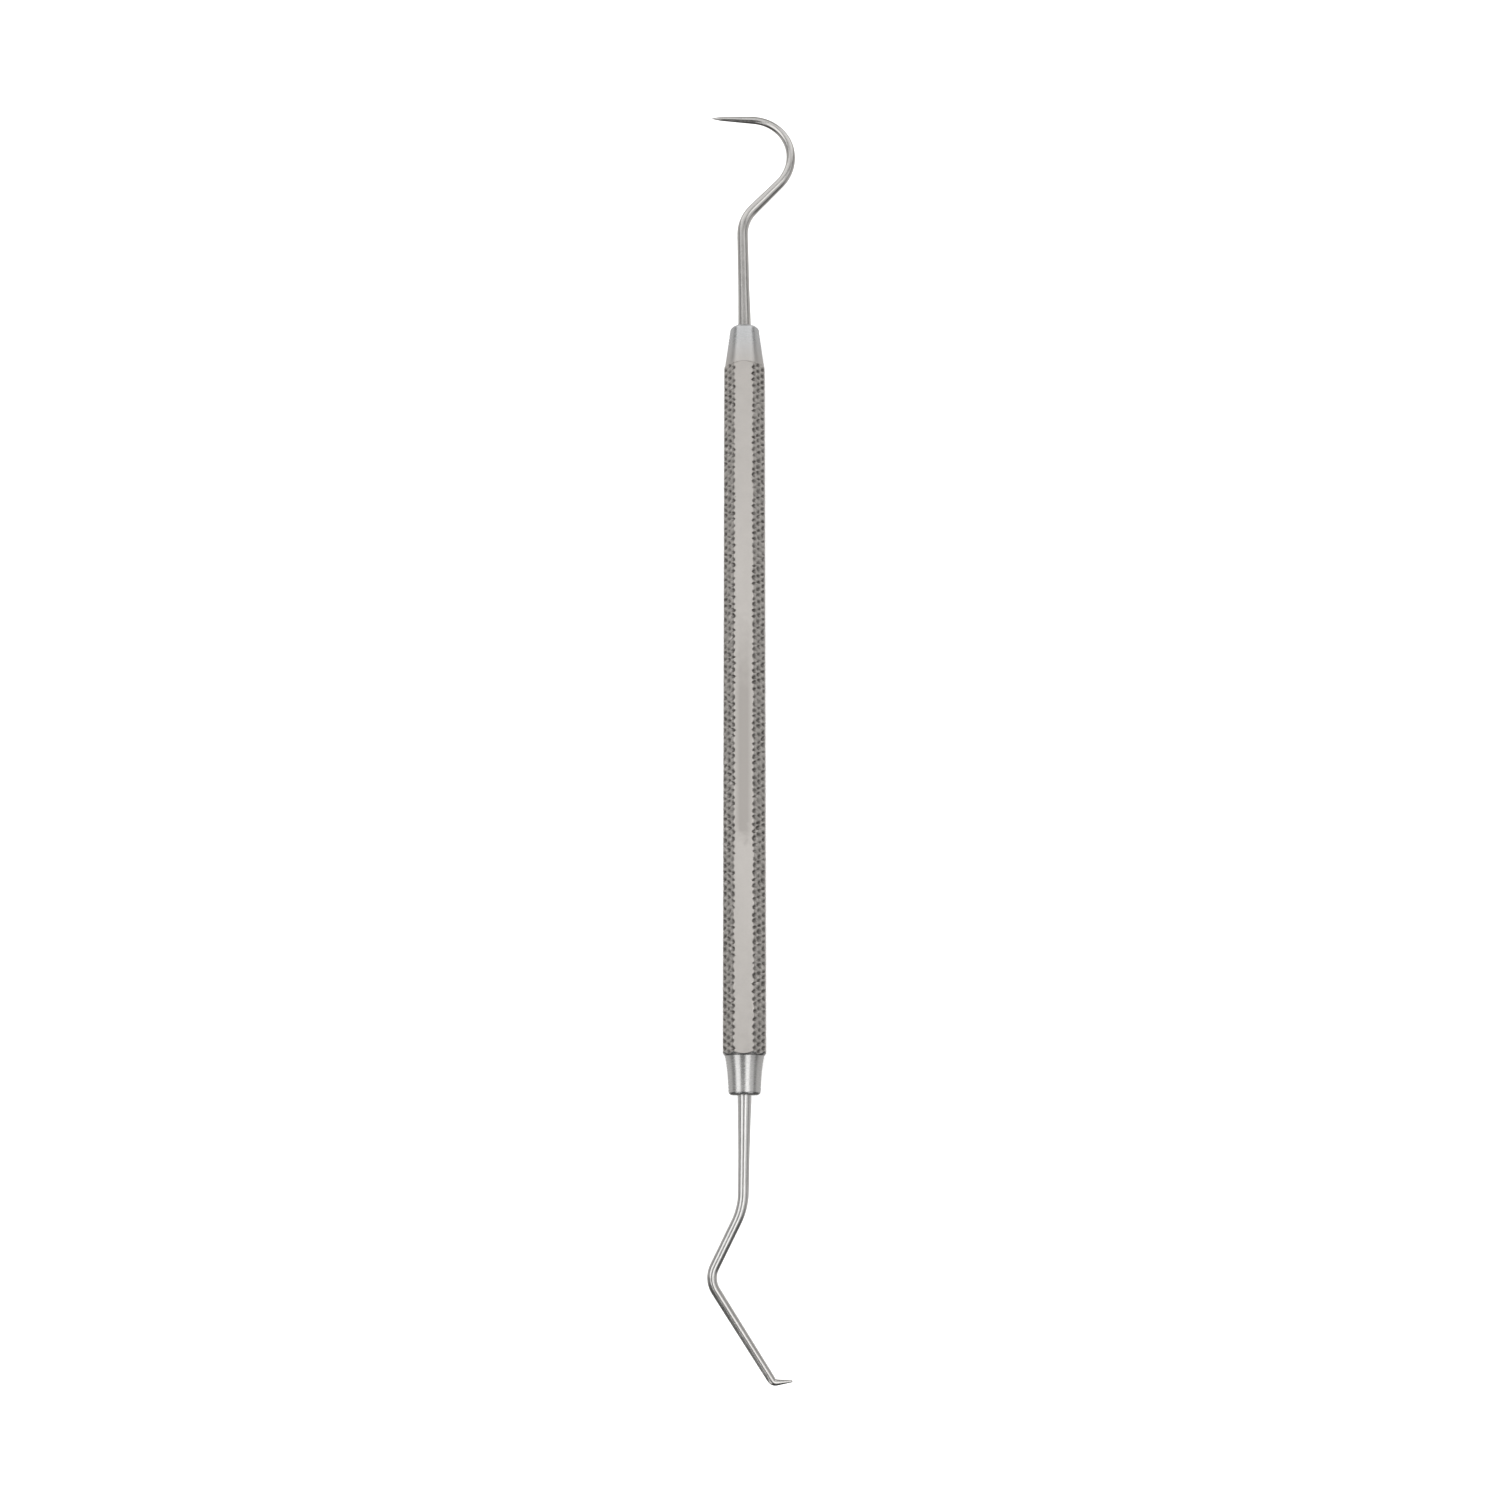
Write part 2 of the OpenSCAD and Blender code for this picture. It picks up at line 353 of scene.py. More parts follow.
def build_bar(material):
    columns = bar_columns()
    face = np.array([c[0] for c in columns])
    across = np.array([c[1] for c in columns])
    angle = np.radians(45 + 90 * face)
    out = np.stack([np.cos(angle), np.sin(angle)], 1)
    along_face = np.stack([-np.sin(angle), np.cos(angle)], 1)
    plain_height = FACE_DISTANCE - np.clip(np.abs(across) - HALF_FACE, 0, None)
    plain = plain_height[:, None] * out + across[:, None] * along_face
    plain_radius = np.linalg.norm(plain, axis=1)
    plain_way = plain / plain_radius[:, None]

    rows, knurl_rows = bar_rows()
    y = np.repeat(rows[:, None], len(columns), axis=1)
    knurl = lay_out_knurl(face, across, y)
    moved_across = across + knurl.drift_across
    moved_y = y + knurl.drift_along
    beyond = np.clip(np.abs(moved_across) - HALF_FACE, 0, None)
    rounded = EDGE_DROP + EDGE_SLOPE * (np.abs(moved_across) - HALF_FACE)
    height = FACE_DISTANCE - np.maximum.reduce([knurl.cut, beyond, rounded])
    section = height[..., None] * out + moved_across[..., None] * along_face
    section, turned, on_edge = turn_tapers(section, moved_y, plain_radius, plain_way)

    x = section[..., 0].ravel()
    z = section[..., 1].ravel() + AXIS_HEIGHT
    points = np.stack([x, moved_y.ravel(), z], 1).tolist()
    faces = bar_faces(y, across, knurl, turned, on_edge, knurl_rows)
    close_ends(points, faces, len(rows), plain_way)

    # Groove and pit shares, read by the material for painted shade in the knurl and for
    # roughness
    grooved = (knurl.cut > np.maximum(beyond, LEAST_CUT)) & ~turned
    groove = np.where(grooved, np.maximum(knurl.groove_one, knurl.groove_other), 0)
    pit = np.where(grooved, knurl.pit * np.clip(knurl.deeper, *PIT_SHADE_LIMITS), 0)
    finish = (FINISH_END - (HALF_LENGTH - moved_y)) / FINISH_FADE
    finish = turned * np.clip(np.where(moved_y > 0, finish, 1.0), 0, 1)
    extra = len(points) - y.size
    bar = make_piece(
        "knurled_handle",
        points,
        faces,
        "handle",
        material,
        {
            "groove": np.append(groove, np.zeros(extra)),
            "pit": np.append(pit, np.zeros(extra)),
            "turned": np.append(finish, np.ones(extra)),
        },
    )
    rounded_off = ~turned & (np.abs(across) < HALF_FACE)
    soften_edges(bar.data, np.append(rounded_off, np.zeros(extra, bool)))


def soften_edges(mesh, worn):
    """Shade smoothly over every edge between two worn vertices."""
    ends = np.empty(2 * len(mesh.edges), np.int32)
    mesh.edges.foreach_get("vertices", ends)
    crisp = np.empty(len(mesh.edges), bool)
    layer = mesh.attributes["sharp_edge"]
    layer.data.foreach_get("value", crisp)
    crisp &= ~worn[ends.reshape(-1, 2)].all(axis=1)
    layer.data.foreach_set("value", crisp)
    mesh.update()


def bridge(last, new, forward):
    """Quads between two rings of the same count."""
    total = len(last)
    quads = []
    for i in range(total):
        n = (i + 1) % total
        quad = (last[i], new[i], new[n], last[n])
        quads.append(quad if forward else quad[::-1])
    return quads


# ---------------------------------------------------------------- working ends

# Stretches of each wire, [length, turn in degrees, bend radius, end diameter],
# clockwise seen from above for a positive turn.
HOOK_SHANK, HOOK_TIP = 13.3, 5.7
HOOK_STRETCHES = [
    [ROOT_OVERLAP + ROOT_LENGTH, 0, 0, 1.75],
    [0, -1.2, 20, 1.75],
    [HOOK_SHANK * 0.4, 0, 0, 1.56],
    [HOOK_SHANK * 0.6, 0, 0, 1.5],
    [0, 45.4, 5.2, 1.48],
    [5.3, 0, 0, 1.34],
    [0, -80, 5.8, 1.16],
    [0, -49.9, 5.8, 1.01],
    [HOOK_TIP * 0.8, 0, 0, 0.56],
    [HOOK_TIP * 0.2, 0, 0, 0.2],
]
ANGLE_SHANK, ANGLE_TIP = 11.7, 1.9
ANGLE_STRETCHES = [
    [ROOT_OVERLAP + ROOT_LENGTH, 0, 0, 1.75],
    [0, 0.7, 20, 1.75],
    [ANGLE_SHANK * 0.6, 0, 0, 1.47],
    [ANGLE_SHANK * 0.4, 0, 0, 1.42],
    [0, 25.8, 8.5, 1.34],
    [6.2, 0, 0, 1.29],
    [0, -59.5, 3, 1.25],
    [12.9, 0, 0, 1.06],
    [0, -60.1, 0.65, 0.8],
    [ANGLE_TIP * 0.6, 0, 0, 0.5],
    [ANGLE_TIP * 0.4, 0, 0, 0.3],
]
ANGLE_POLISHED = 26.0  # distance along it up to which it is polished
ANGLE_GROUND = 23.6, 39.5  # distances along it between which one side is ground
WIRE_SIDES = 40
FINE_STEP = 0.02
BEND_SOFTNESS = 0.5  # length over which a bend's curvature comes and goes
TAPER_SOFTNESS = 0.7
RING_STEP = 0.3
RING_TURN = math.radians(2.5)
TIP_RINGS = 5
TIP_KEPT = 2.0  # the taper isn't softened at the tip, and gradually is up to here
ROOT_MARK = 1.0  # the tang's streaks start this far before the wire's
LEAST_RING_GAP = 0.02
POLISH_FADE = 3.0
GROUND_RUN_OUT = 1.5  # length over which the ground flat comes and goes
GROUND_DEPTH = 0.1  # share of the radius that is ground off one side
GROUND_ANGLE = math.radians(52)  # of the ground side, up from the wire's right


def box_blur(values, width):
    reach = max(1, int(width / FINE_STEP / 2))
    padded = np.pad(values, reach, mode="edge")
    kernel = np.ones(2 * reach + 1) / (2 * reach + 1)
    return np.convolve(padded, kernel, mode="valid")


def wire_path(stretches):
    """Places, headings, radii and distances along a wire, finely stepped."""
    ends, turns, knots, sizes = [0.0], [], [0.0], [stretches[0][3]]
    for length, turn, bend_radius, diameter in stretches:
        run = length if turn == 0 else abs(math.radians(turn)) * bend_radius
        turns.append(math.radians(turn) / run if turn else 0.0)
        ends.append(ends[-1] + run)
        knots.append(ends[-1])
        sizes.append(diameter)
    count = int(round(ends[-1] / FINE_STEP)) + 1
    distance = np.linspace(0, ends[-1], count)
    stretch = np.searchsorted(ends, distance, side="right") - 1
    stretch = np.clip(stretch, 0, len(turns) - 1)
    curvature = box_blur(np.array(turns)[stretch], BEND_SOFTNESS)
    step = distance[1]
    heading = np.concatenate([[0], np.cumsum((curvature[1:] + curvature[:-1]) / 2 * step)])
    middle = (heading[1:] + heading[:-1]) / 2
    x = np.concatenate([[0], np.cumsum(np.sin(middle) * step)])
    y = np.concatenate([[0], np.cumsum(np.cos(middle) * step)])
    y += HALF_LENGTH - ROOT_OVERLAP
    radius = np.interp(distance, knots, sizes) / 2
    soft = box_blur(box_blur(radius, TAPER_SOFTNESS), TAPER_SOFTNESS / 2)
    near_tip = np.clip((ends[-1] - distance) / TIP_KEPT, 0, 1)
    radius = radius + (soft - radius) * near_tip
    return distance, x, y, heading, radius


def tang_rings():
    """(radius, distance outwards from the nose) of the tang, from its inner end."""
    rings = [
        (TANG_RADIUS - TANG_CHAMFER, -TANG_LENGTH),
        (TANG_RADIUS, -TANG_LENGTH + TANG_CHAMFER),
    ]
    for i in range(TANG_GROOVES):
        middle = -TANG_LENGTH + (TANG_LENGTH - SHOULDER_START) * (i + 1) / (TANG_GROOVES + 1)
        low, high = TANG_RADIUS - TANG_GROOVE_DEPTH, TANG_RADIUS
        start, end = middle - TANG_GROOVE_WIDTH / 2, middle + TANG_GROOVE_WIDTH / 2
        rings += [(high, start), (low, start), (low, end), (high, end)]
    return rings + [(TANG_RADIUS, -SHOULDER_START), (ROOT_RADIUS, -SHOULDER_END)]


def build_wire(name, stretches, place, node, material, polished=0.0, ground=None):
    """A wire with its tang, polished up to a distance along it, and with one side
    ground flat between two distances."""
    distance, x, y, heading, radius = wire_path(stretches)
    rings = [((0.0, HALF_LENGTH + d), 0.0, r, d - ROOT_MARK) for r, d in tang_rings()]
    last_s, last_h = -math.inf, 0.0
    for k in range(len(distance)):
        final = k == len(distance) - 1
        far = distance[k] - last_s >= RING_STEP
        turned = abs(heading[k] - last_h) >= RING_TURN
        if final or ((far or turned) and distance[-1] - distance[k] > LEAST_RING_GAP):
            size = radius[k]
            if distance[k] < ROOT_OVERLAP + ROOT_LENGTH:
                size = ROOT_RADIUS
            rings.append(((x[k], y[k]), heading[k], size, distance[k]))
            last_s, last_h = distance[k], heading[k]
    (tip_x, tip_y), tip_h, tip_r, tip_s = rings[-1]
    for i in range(1, TIP_RINGS):
        a = math.pi / 2 * i / TIP_RINGS
        shift = tip_r * math.sin(a)
        centre = (tip_x + shift * math.sin(tip_h), tip_y + shift * math.cos(tip_h))
        rings.append((centre, tip_h, tip_r * math.cos(a), tip_s + shift))

    (inner_x, inner_y), _, _, inner_s = rings[0]
    points, along, aside = [[inner_x, inner_y, AXIS_HEIGHT]], [inner_s], [0.0]
    for (cx, cy), h, r, s in rings:
        depth = 0.0
        if ground:
            inside = min(s - ground[0], ground[1] - s) / GROUND_RUN_OUT
            depth = GROUND_DEPTH * min(max(inside, 0), 1)
        for k in range(WIRE_SIDES):
            a = 2 * math.pi * k / WIRE_SIDES
            # Height above the axis in the ground flat's own direction, cut down to it
            proud = max(math.cos(a - GROUND_ANGLE) - (1 - depth), 0)
            side = r * (math.cos(a) - proud * math.cos(GROUND_ANGLE))
            up = r * (math.sin(a) - proud * math.sin(GROUND_ANGLE))
            points.append(
                [cx + side * math.cos(h), cy - side * math.sin(h), AXIS_HEIGHT + up]
            )
            along.append(s)
            aside.append(math.cos(a))
    end = [tip_x + tip_r * math.sin(tip_h), tip_y + tip_r * math.cos(tip_h), AXIS_HEIGHT]
    points.append(end)
    along.append(tip_s + tip_r)
    aside.append(0.0)

    faces = []
    for k in range(WIRE_SIDES):
        faces.append((0, 1 + k, 1 + (k + 1) % WIRE_SIDES))
    for j in range(len(rings) - 1):
        last = [1 + j * WIRE_SIDES + k for k in range(WIRE_SIDES)]
        new = [i + WIRE_SIDES for i in last]
        faces += bridge(last, new, True)
    top = 1 + (len(rings) - 1) * WIRE_SIDES
    tip = len(points) - 1
    for k in range(WIRE_SIDES):
        faces.append((top + k, tip, top + (k + 1) % WIRE_SIDES))
    return make_piece(
        name,
        place(points),
        faces,
        node,
        material,
        {
            "along": along,
            "side": aside,
            "polish": np.clip((polished - np.array(along)) / POLISH_FADE, 0, 1),
        },
    )


# ---------------------------------------------------------------- braze

# The filler's open surface, a shallow meniscus between the wire and the bore.
MENISCUS = [
    (BORE_RADIUS, -0.05),
    (1.06, -0.068),
    (1.01, -0.08),
    (0.95, -0.07),
    (0.91, -0.045),
    (ROOT_RADIUS, -0.01),
]
BRAZE_SIDES = 64
BRAZE_SHARP = 35  # degrees


def build_braze(name, place, node, material):
    outline = tang_rings() + [(ROOT_RADIUS, -ROOT_LENGTH)]
    outline += MENISCUS[::-1] + [(BORE_RADIUS, -TANG_LENGTH)]
    points, faces = [], []
    for r, d in outline:
        for k in range(BRAZE_SIDES):
            a = 2 * math.pi * k / BRAZE_SIDES
            points.append([r * math.cos(a), HALF_LENGTH + d, AXIS_HEIGHT + r * math.sin(a)])
    count = len(outline)
    for j in range(count):
        last = [j * BRAZE_SIDES + k for k in range(BRAZE_SIDES)]
        new = [(j + 1) % count * BRAZE_SIDES + k for k in range(BRAZE_SIDES)]
        faces += bridge(last, new, False)
    return make_piece(
        name, place(points), faces, node, material, sharp=BRAZE_SHARP
    )


# ---------------------------------------------------------------- materials


NOISE_RANGE = 0.3, 0.7  # between which most of a noise texture lies

# Colours, each pair from dark to light
FLAT_STEEL = (0.43, 0.41, 0.388, 1), (0.83, 0.794, 0.756, 1)
# Painted shade for a dip in what the flats reflect
SHADED_DIP_STEEL = (0.42, 0.395, 0.372, 1)
TURNED_COOL = (0.465, 0.472, 0.48, 1), (0.85, 0.86, 0.872, 1)  # on the +Y half, a painted cooler reflected tint; the steel is one colour
TURNED_WARM = (0.472, 0.468, 0.462, 1), (0.858, 0.852, 0.842, 1)
# Painted shade for the knurl's grooves, darker still in its pits
GROOVE_SHADE_GREY = (0.36, 0.34, 0.32, 1)
PIT_SHADE_GREY = (0.2, 0.188, 0.178, 1)
WIRE_SATIN = (0.50, 0.488, 0.474, 1), (0.90, 0.882, 0.86, 1)
WIRE_POLISH = (0.55, 0.545, 0.535, 1), (0.90, 0.89, 0.88, 1)
BRAZE = (0.46, 0.445, 0.4, 1), (0.76, 0.745, 0.68, 1)
FLOOR = (0.80, 0.80, 0.80, 1), (0.82, 0.82, 0.815, 1)

# The painted shade patch on the flats, a darker dip where they reflect less: where it
# fades in and out along the bar, and from its middle to its sides, in mm
PATCH_START = -20.5, -18.0
PATCH_END = 0, 11
PATCH_SIDE = 0.5, 1.25
PATCH_SHARE = 0.7
PATCH_RAGGED = 1.5


class Shader:
    """A node material with a Principled shader, and short ways to add nodes."""

    def __init__(self, name):
        self.material = bpy.data.materials.new(name)
        self.material.use_nodes = True
        self.tree = self.material.node_tree
        self.surface = self.tree.nodes["Principled BSDF"]

    def node(self, kind, **settings):
        new = self.tree.nodes.new(kind)
        for key, value in settings.items():
            setattr(new, key, value)
        return new

    def put(self, target, value):
        if hasattr(value, "is_linked"):
            self.tree.links.new(value, target)
        else:
            target.default_value = value

    def attribute(self, name):
        return self.node("ShaderNodeAttribute", attribute_name=name).outputs["Fac"]

    def place(self, scale=(1, 1, 1)):
        """Object coordinates in millimetres, stretched by scale."""
        coords = self.node("ShaderNodeTexCoord").outputs["Object"]
        mapping = self.node("ShaderNodeMapping")
        mapping.inputs["Scale"].default_value = [s / MM for s in scale]
        self.tree.links.new(coords, mapping.inputs["Vector"])
        return mapping.outputs["Vector"]

    def noise(self, vector, scale, detail=2.0, rough=0.5):
        noise = self.node("ShaderNodeTexNoise")
        self.put(noise.inputs["Vector"], vector)
        noise.inputs["Scale"].default_value = scale
        noise.inputs["Detail"].default_value = detail
        noise.inputs["Roughness"].default_value = rough
        return noise.outputs["Fac"]

    def math(self, operation, one, two=0.0, clamp=False):
        step = self.node("ShaderNodeMath", operation=operation, use_clamp=clamp)
        self.put(step.inputs[0], one)
        self.put(step.inputs[1], two)
        return step.outputs[0]

    def remap(self, value, low, high, to_low, to_high):
        step = self.node("ShaderNodeMapRange")
        self.put(step.inputs["Value"], value)
        for key, number in (
            ("From Min", low),
            ("From Max", high),
            ("To Min", to_low),
            ("To Max", to_high),
        ):
            self.put(step.inputs[key], number)
        return step.outputs["Result"]

    def spread(self, noise, low, high):
        """A noise's usual range stretched over low to high."""
        return self.remap(noise, *NOISE_RANGE, low, high)

    def vary(self, noise, amount):
        """The same, evenly to both sides of zero."""
        return self.spread(noise, -amount, amount)

    def mix(self, share, one, two):
        step = self.node("ShaderNodeMix", data_type="RGBA")
        self.put(step.inputs[0], share)
        self.put(step.inputs[6], one)
        self.put(step.inputs[7], two)
        return step.outputs[2]

    def blend(self, share, one, two):
        step = self.node("ShaderNodeMix", data_type="FLOAT")
        self.put(step.inputs[0], share)
        self.put(step.inputs[2], one)
        self.put(step.inputs[3], two)
        return step.outputs[0]

    def bump(self, height, distance, strength=1.0, normal=None):
        step = self.node("ShaderNodeBump")
        self.put(step.inputs["Height"], height)
        step.inputs["Distance"].default_value = distance * MM
        step.inputs["Strength"].default_value = strength
        if normal is not None:
            self.put(step.inputs["Normal"], normal)
        return step.outputs["Normal"]

    def finish(self, color, roughness, normal=None):
        self.surface.inputs["Metallic"].default_value = 1.0
        self.put(self.surface.inputs["Base Color"], color)
        self.put(self.surface.inputs["Roughness"], roughness)
        if normal is not None:
            self.put(self.surface.inputs["Normal"], normal)
        return self.material


def shaded_dip_patch(s, x, y, ragged):
    """Share of the painted shade patch, a darker dip, on the flats just below the handle's
    middle.
    """
    aside = s.math("ABSOLUTE", x)
    along = s.math("ADD", y, s.vary(ragged, PATCH_RAGGED))
    begun = s.remap(along, *PATCH_START, 0, 1)
    patch = s.math("MULTIPLY", begun, s.remap(along, *PATCH_END, 1, 0))
    return s.math("MULTIPLY", patch, s.remap(aside, *PATCH_SIDE, PATCH_SHARE, 0))


def handle_steel():
    s = Shader("handle_steel")
    groove, pit, turned = s.attribute("groove"), s.attribute("pit"), s.attribute("turned")
    place = s.place()
    split = s.node("ShaderNodeSeparateXYZ")
    s.put(split.inputs[0], place)
    x, y = split.outputs["X"], split.outputs["Y"]
    grain = s.noise(s.place((1, 0.12, 1)), scale=7.0, detail=3.0, rough=0.6)
    blotch = s.noise(place, scale=0.9, detail=3.0, rough=0.55)
    fine = s.noise(place, scale=4.0, detail=3.0, rough=0.6)
    cloud = s.noise(s.place((1, 0.35, 1)), scale=0.25)
    rings = s.noise(s.place((0.05, 1, 0.05)), scale=3.0)

    # Flats, then the tapers, then the grooves and their pits, darkened with painted shade
    tone = s.math("ADD", s.vary(blotch, 0.025), s.vary(cloud, 0.03))
    tone = s.math("ADD", tone, s.vary(fine, 0.035))
    tone = s.math("ADD", tone, 0.5)
    steel = s.mix(tone, *FLAT_STEEL)
    # Painted shade: a darker dip on the flats just below the middle, where they reflect less
    steel = s.mix(shaded_dip_patch(s, x, y, blotch), steel, SHADED_DIP_STEEL)
    # A painted cooler reflected tint towards the hooked end; the steel itself is one colour
    cool = s.remap(y, -1, 1, 0, 1)
    dim = s.mix(cool, TURNED_WARM[0], TURNED_COOL[0])
    lit = s.mix(cool, TURNED_WARM[1], TURNED_COOL[1])
    steel = s.mix(turned, steel, s.mix(tone, dim, lit))
    # Painted shade in the grooves, deepest in the ragged pits
    color = s.mix(s.remap(groove, 0.3, 1.0, 0.0, 0.35), steel, GROOVE_SHADE_GREY)
    ragged = s.math("ADD", pit, s.vary(s.noise(place, scale=3.2), 0.2))
    dark = s.remap(ragged, 0.05, 0.6, 0.0, 0.85)
    dark = s.math("MULTIPLY", dark, s.remap(groove, 0.0, 0.25, 0, 1))
    color = s.mix(dark, color, PIT_SHADE_GREY)

    flat_rough = s.math("ADD", s.spread(blotch, 0.33, 0.41), s.vary(fine, 0.03))
    rough = s.blend(turned, flat_rough, s.spread(rings, 0.22, 0.29))
    rough = s.blend(s.remap(groove, 0, 1, 0, 0.6), rough, 0.45)

    # The flats' grain and waviness; neither is on the tapers
    worn = s.bump(s.blend(turned, grain, 0.5), 0.0012, 0.8)
    worn = s.bump(s.blend(turned, blotch, 0.5), 0.012, 0.5, worn)
    return s.finish(color, rough, worn)


def working_end_steel():
    s = Shader("working_end_steel")
    along, side, polish = s.attribute("along"), s.attribute("side"), s.attribute("polish")
    combine = s.node("ShaderNodeCombineXYZ")
    s.put(combine.inputs["X"], s.math("MULTIPLY", side, 6.0))
    s.put(combine.inputs["Y"], s.math("MULTIPLY", along, 0.5))
    streak = s.noise(combine.outputs["Vector"], scale=2.2, detail=3.0, rough=0.6)
    blotch = s.noise(s.place(), scale=0.8)
    fine = s.noise(s.place(), scale=9.0, detail=3.0, rough=0.6)
    tone = s.math("ADD", s.vary(streak, 0.04), s.vary(blotch, 0.05))
    tone = s.math("ADD", tone, 0.5)
    color = s.mix(polish, s.mix(tone, *WIRE_SATIN), s.mix(tone, *WIRE_POLISH))
    rough = s.math("ADD", s.spread(streak, 0.17, 0.24), s.spread(blotch, 0, 0.03))
    worn = s.bump(fine, 0.0015, 0.6)
    worn = s.bump(streak, 0.004, 0.5, worn)
    return s.finish(color, rough, worn)


def silver_braze():
    s = Shader("silver_braze")
    grain = s.noise(s.place(), scale=5.0, detail=4.0, rough=0.6)
    rough = s.spread(grain, 0.34, 0.5)
    return s.finish(s.mix(grain, *BRAZE), rough, s.bump(grain, 0.02, 0.6))


def pale_floor():
    s = Shader("pale_floor")
    mottle = s.noise(s.place(), scale=0.01, detail=3.0)
    s.put(s.surface.inputs["Base Color"], s.mix(mottle, *FLOOR))
    s.surface.inputs["Roughness"].default_value = 0.85
    s.surface.inputs["Specular IOR Level"].default_value = 0.15
    return s.material


# ---------------------------------------------------------------- studio

FLOOR_RADIUS = 6.0  # metres
FLOOR_DROP = 0.00003
FLOOR_SIDES = 64
LIGHT_DISTANCE = 0.6
OPEN_WORLD = 1.8  # what the floor is lit by, and what shows behind it
MIRRORED_WORLD = 0.24  # what metal sees between the softboxes
MIRRORED_TABLE = 0.55  # what metal sees of the surface under it
NEAR_SIDE_SHADE = 0.1  # how much of either it sees low down on the -Y side
MIRRORED_TINT = (1, 0.99, 0.975, 1)
HORIZON = -0.12, 0.12  # heights between which table gives way to world
SHADE_REACH = -0.5, -0.15  # from full shade to none, as the view's Y

# Softboxes, as name, lean, tilt, width and height in degrees, and brightness
SOFTBOXES = (
    ("left_softbox", -42, -11, 34, 56, 1.0),
    ("right_softbox", 22, -12, 26, 56, 1.15),
    ("right_fill", 52, -6, 30, 50, 0.36),
    ("far_softbox", -7, 12, 34, 24, 0.62),
    ("high_softbox", 0, 46, 90, 26, 0.58),
)
CORNER_LEAN, CORNER_TILT = 63, 72
CORNER_LIGHT = 26, 22, 0.8  # width, height and brightness


def build_floor():
    ring = [
        (
            FLOOR_RADIUS * math.cos(2 * math.pi * k / FLOOR_SIDES),
            FLOOR_RADIUS * math.sin(2 * math.pi * k / FLOOR_SIDES),
            -FLOOR_DROP,
        )
        for k in range(FLOOR_SIDES)
    ]
    mesh = bpy.data.meshes.new("floor")
    mesh.from_pydata(ring, [], [tuple(range(FLOOR_SIDES))])
    mesh.materials.append(pale_floor())
    floor = bpy.data.objects.new("floor", mesh)
    bpy.context.scene.collection.objects.link(floor)
    floor.visible_glossy = False


def softbox(name, lean, tilt, wide, tall, radiance):
    """A soft light seen from the object at `lean` degrees towards +X and `tilt`
    degrees towards +Y from straight up, and that many degrees wide and tall."""
    way = Vector((math.tan(math.radians(lean)), math.tan(math.radians(tilt)), 1))
    way.normalize()
    light = bpy.data.lights.new(name, "AREA")
    light.shape = "RECTANGLE"
    light.size = 2 * LIGHT_DISTANCE * math.tan(math.radians(wide / 2))
    light.size_y = 2 * LIGHT_DISTANCE * math.tan(math.radians(tall / 2))
    light.energy = radiance * math.pi * light.size * light.size_y
    lamp = bpy.data.objects.new(name, light)
    lamp.location = way * LIGHT_DISTANCE
    right = (Vector((1, 0, 0)) - way * way.x).normalized()
    lamp.rotation_euler = Matrix((right, way.cross(right), way)).transposed().to_euler()
    lamp.visible_camera = False
    bpy.context.scene.collection.objects.link(lamp)


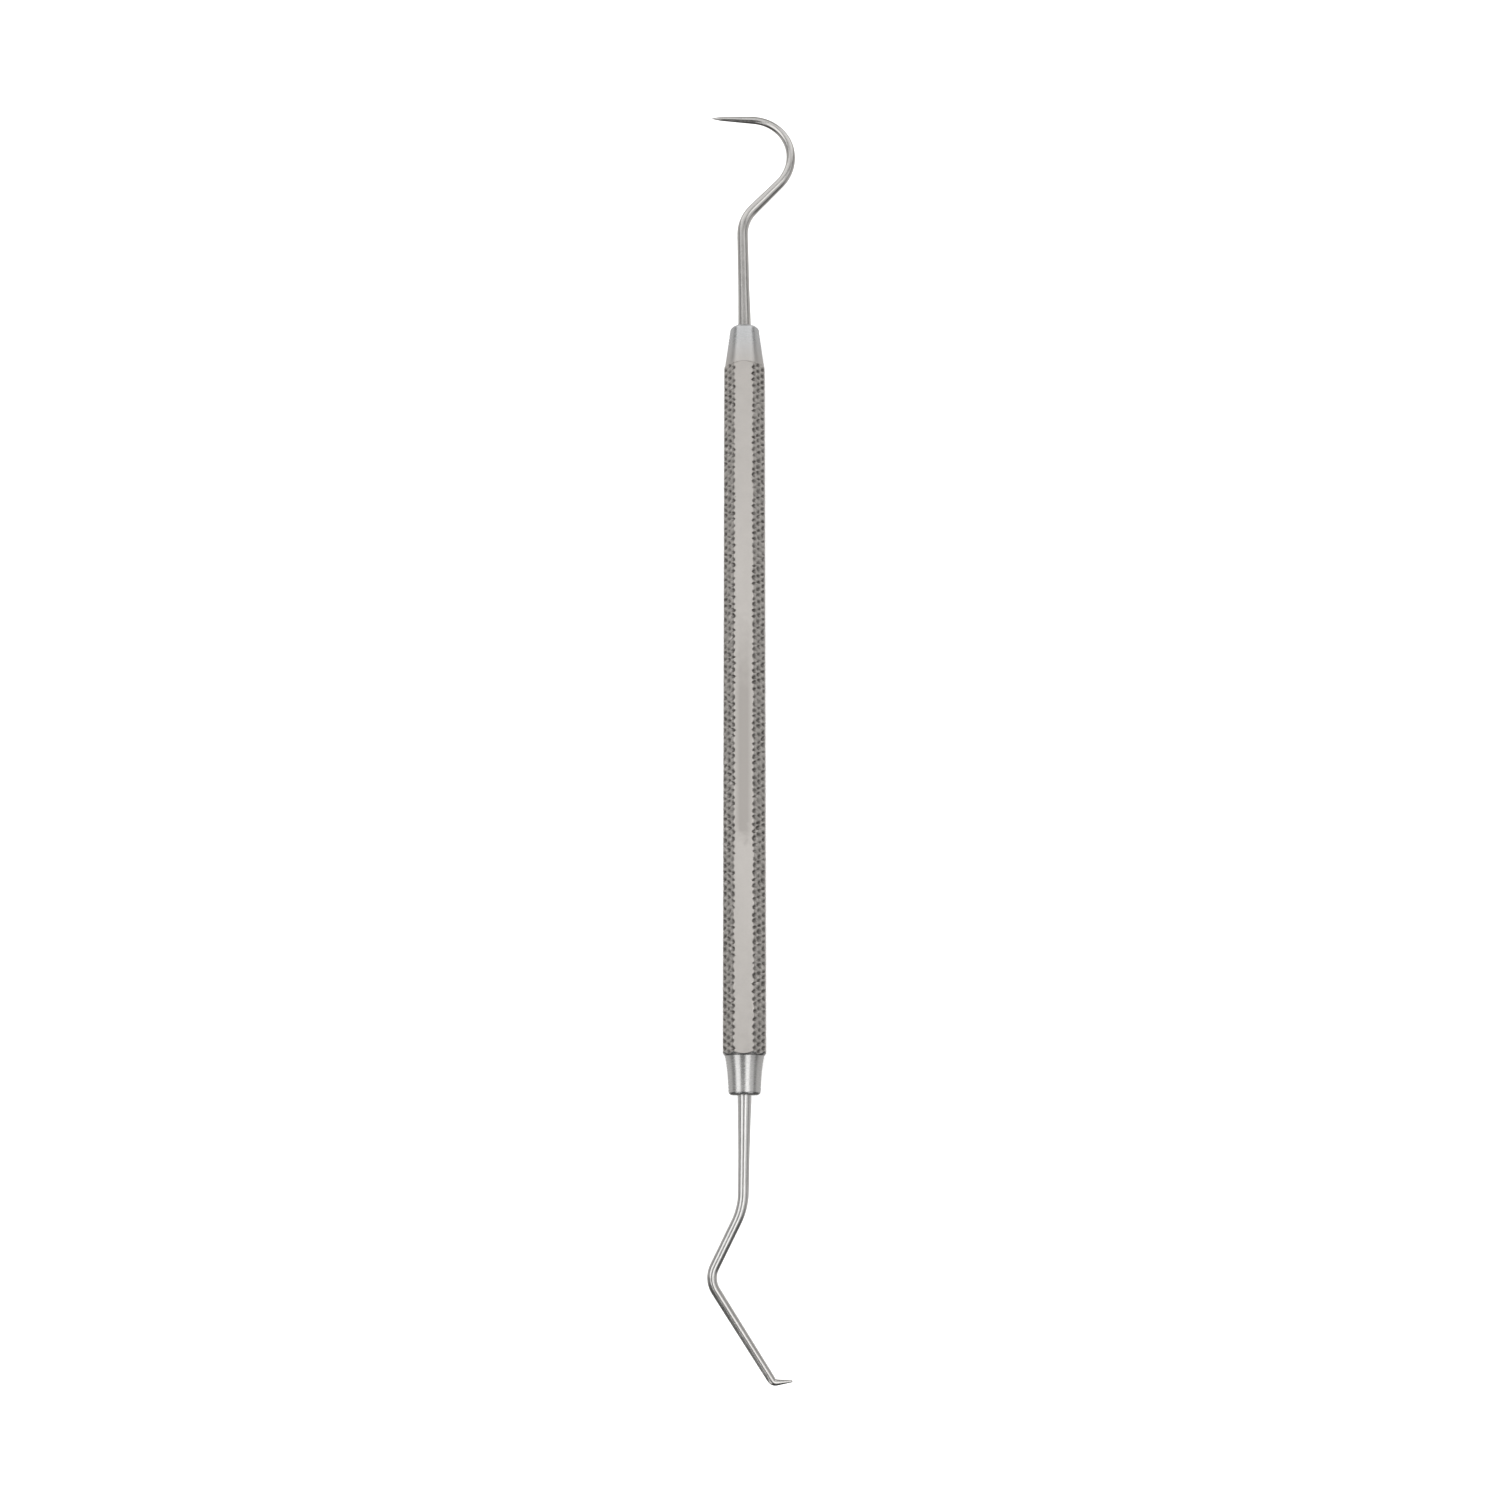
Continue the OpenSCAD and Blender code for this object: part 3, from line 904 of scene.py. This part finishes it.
def build_world():
    """White to the camera and for the floor, and dimmer where metal mirrors it."""
    world = bpy.data.worlds.new("studio")
    bpy.context.scene.world = world
    world.use_nodes = True
    tree = world.node_tree
    link = tree.links.new
    around = tree.nodes["Background"]
    around.inputs["Color"].default_value = (1, 1, 1, 1)
    around.inputs["Strength"].default_value = OPEN_WORLD
    mirrored = tree.nodes.new("ShaderNodeBackground")
    mirrored.inputs["Color"].default_value = MIRRORED_TINT
    coords = tree.nodes.new("ShaderNodeTexCoord")
    split = tree.nodes.new("ShaderNodeSeparateXYZ")
    link(coords.outputs["Generated"], split.inputs[0])
    product = tree.nodes.new("ShaderNodeMath")
    product.operation = "MULTIPLY"
    ranges = (
        ("Z", HORIZON, (MIRRORED_TABLE, MIRRORED_WORLD)),
        ("Y", SHADE_REACH, (NEAR_SIDE_SHADE, 1.0)),
    )
    for i, (axis, start, end) in enumerate(ranges):
        step = tree.nodes.new("ShaderNodeMapRange")
        link(split.outputs[axis], step.inputs["Value"])
        step.inputs["From Min"].default_value, step.inputs["From Max"].default_value = start
        step.inputs["To Min"].default_value, step.inputs["To Max"].default_value = end
        link(step.outputs["Result"], product.inputs[i])
    link(product.outputs[0], mirrored.inputs["Strength"])
    mix = tree.nodes.new("ShaderNodeMixShader")
    path = tree.nodes.new("ShaderNodeLightPath")
    link(path.outputs["Is Glossy Ray"], mix.inputs[0])
    link(around.outputs[0], mix.inputs[1])
    link(mirrored.outputs[0], mix.inputs[2])
    link(mix.outputs[0], tree.nodes["World Output"].inputs["Surface"])


CAMERA_PLACE = 12.70, -62.64, 275.36  # mm
CAMERA_TURN = 11.491, 2.522, -0.028  # degrees
CAMERA_LENS = 50.23


def build_camera():
    """Above the bar, leaning towards the right-angle end, as in the photograph."""
    camera = bpy.data.cameras.new("camera")
    camera.sensor_width = 36
    camera.lens = CAMERA_LENS
    camera.clip_start = 0.01
    camera.clip_end = 50
    eye = bpy.data.objects.new("camera", camera)
    eye.location = Vector(CAMERA_PLACE) * MM
    eye.rotation_euler = Euler([math.radians(a) for a in CAMERA_TURN], "XYZ")
    bpy.context.scene.collection.objects.link(eye)
    bpy.context.scene.camera = eye


# ---------------------------------------------------------------- the scene

build_camera()
build_world()
for settings in SOFTBOXES:
    softbox(*settings)
for lean in (-CORNER_LEAN, CORNER_LEAN):
    for tilt in (-CORNER_TILT, CORNER_TILT):
        softbox(f"corner_light_{lean}_{tilt}", lean, tilt, *CORNER_LIGHT)
build_floor()

wire_finish = working_end_steel()
braze_finish = silver_braze()
build_bar(handle_steel())
build_wire("hook_end_wire", HOOK_STRETCHES, at_hook_end, "hook_working_end", wire_finish)
build_wire(
    "right_angle_end_wire",
    ANGLE_STRETCHES,
    at_other_end,
    "right_angle_working_end",
    wire_finish,
    polished=ANGLE_POLISHED,
    ground=ANGLE_GROUND,
)
build_braze("hook_end_fillet", at_hook_end, "hook_end_braze", braze_finish)
build_braze("right_angle_end_fillet", at_other_end, "right_angle_end_braze", braze_finish)

bpy.context.scene.view_settings.view_transform = "Standard"
bpy.context.scene.view_settings.look = "None"
